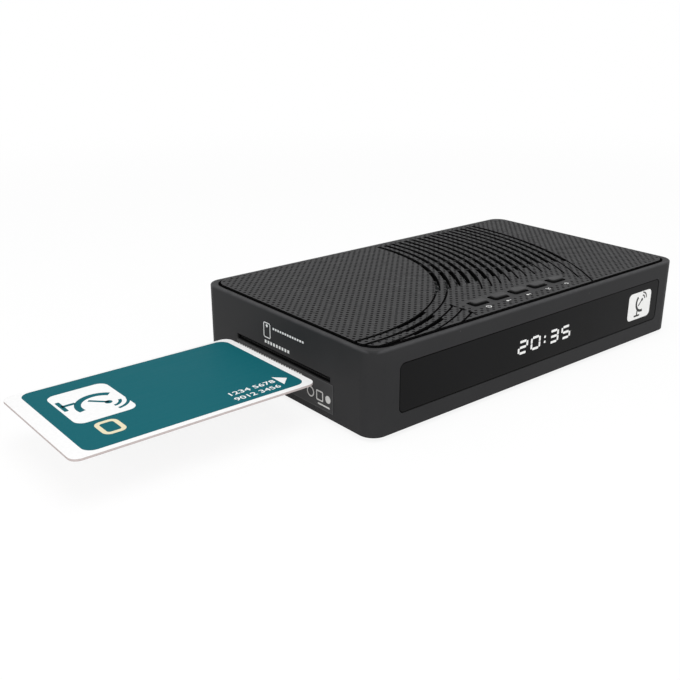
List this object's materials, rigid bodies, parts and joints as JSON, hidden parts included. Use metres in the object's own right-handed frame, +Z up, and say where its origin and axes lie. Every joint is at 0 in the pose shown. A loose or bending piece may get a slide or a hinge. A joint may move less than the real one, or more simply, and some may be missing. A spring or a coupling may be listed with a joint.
{
  "type": "satellite tv receiver",
  "caption": "Small flat satellite receiver with curved vent slots, keys on its top, a smoked front window and a side slot that takes a smart card.",
  "frame": {"origin": "middle of the case's footprint, on the plane that the feet stand on", "axes": "+X from the card-slot side to the other side, +Y from the front window to the rear sockets, +Z up"},
  "size_m": [0.2606, 0.109, 0.0334],
  "materials": {
    "case_plastic": "fine-grained charcoal moulding",
    "cover_plastic": "dark grey moulding with a dimpled face",
    "window_plastic": "smoked, polished window",
    "button_plastic": "satin charcoal key cap",
    "foot_rubber": "soft black rubber",
    "screw_steel": "zinc-plated screw",
    "label_film": "thin charcoal label film",
    "board": "green solder mask",
    "chip_black": "black moulded chip package",
    "pad_grey": "soft thermal pad",
    "heatsink_aluminium": "extruded and plain",
    "tin_plate": "tinned sheet",
    "nickel": "nickel plate",
    "insulator_white": "white insulator",
    "socket_black": "black socket moulding",
    "capacitor_sleeve": "shrink sleeve",
    "display_grey": "digit module face",
    "lens_dark": "dark infrared lens",
    "lamp_lens": "red lamp lens",
    "ribbon_white": "flat ribbon cable",
    "reader_plastic": "black reader moulding",
    "contact_gold": "gold-plated contact",
    "card_plastic": "laminated teal card",
    "crystal_can": "crystal can"
  },
  "bodies": {
    "case": {"av_jack": "socket_black", "base_plate": "case_plastic", "board_screws": "screw_steel", "card_end_switch": "socket_black", "card_reader_base": "reader_plastic", "card_reader_contacts": "contact_gold", "card_reader_cover": "tin_plate", "case_screws": "screw_steel", "case_shell": "case_plastic", "clock_crystal": "crystal_can", "digit_display": "display_grey", "digital_audio_socket": "socket_black", "display_board": "board", "display_header": "socket_black", "flash_chip": "chip_black", "front_window": "window_plastic", "hdmi_socket": "tin_plate", "heatsink": "heatsink_aluminium", "infrared_receiver": "lens_dark", "key_board": "board", "key_board_screws": "screw_steel", "key_ribbon_cable": "ribbon_white", "key_switches": "socket_black", "lan_socket": "socket_black", "lnb_input_socket": "nickel", "lnb_output_socket": "nickel", "main_board": "board", "memory_chips": "chip_black", "power_coils": "chip_black", "power_socket": "socket_black", "ribbon_sockets": "insulator_white", "rubber_feet": "foot_rubber", "side_label": "label_film", "socket_insulators": "insulator_white", "standby_lamp": "lamp_lens", "supply_capacitors": "capacitor_sleeve", "system_chip": "chip_black", "thermal_pad": "pad_grey", "top_cover": "cover_plastic", "tuner_can": "tin_plate", "tuner_lid": "tin_plate", "usb_socket": "tin_plate", "voltage_regulators": "chip_black"},
    "power_key": {"power_button": "button_plastic", "power_plunger": "button_plastic"},
    "volume_down_key": {"volume_down_button": "button_plastic", "volume_down_plunger": "button_plastic"},
    "volume_up_key": {"volume_up_button": "button_plastic", "volume_up_plunger": "button_plastic"},
    "channel_down_key": {"channel_down_button": "button_plastic", "channel_down_plunger": "button_plastic"},
    "channel_up_key": {"channel_up_button": "button_plastic", "channel_up_plunger": "button_plastic"},
    "card": {"smart_card": "card_plastic", "card_chip": "contact_gold"}
  },
  "joints": [
    {"name": "power_press", "type": "slide", "parent": "case", "child": "power_key", "axis": [0, 0, -1], "range_m": [0, 0.0005], "stiffness_N_per_m": 1200, "springref_m": -0.0004},
    {"name": "volume_down_press", "type": "slide", "parent": "case", "child": "volume_down_key", "axis": [0, 0, -1], "range_m": [0, 0.0005], "stiffness_N_per_m": 1200, "springref_m": -0.0004},
    {"name": "volume_up_press", "type": "slide", "parent": "case", "child": "volume_up_key", "axis": [0, 0, -1], "range_m": [0, 0.0005], "stiffness_N_per_m": 1200, "springref_m": -0.0004},
    {"name": "channel_down_press", "type": "slide", "parent": "case", "child": "channel_down_key", "axis": [0, 0, -1], "range_m": [0, 0.0005], "stiffness_N_per_m": 1200, "springref_m": -0.0004},
    {"name": "channel_up_press", "type": "slide", "parent": "case", "child": "channel_up_key", "axis": [0, 0, -1], "range_m": [0, 0.0005], "stiffness_N_per_m": 1200, "springref_m": -0.0004},
    {"name": "card_insert", "type": "slide", "parent": "case", "child": "card", "axis": [1, 0, 0], "range_m": [0, 0.0726]}
  ]
}
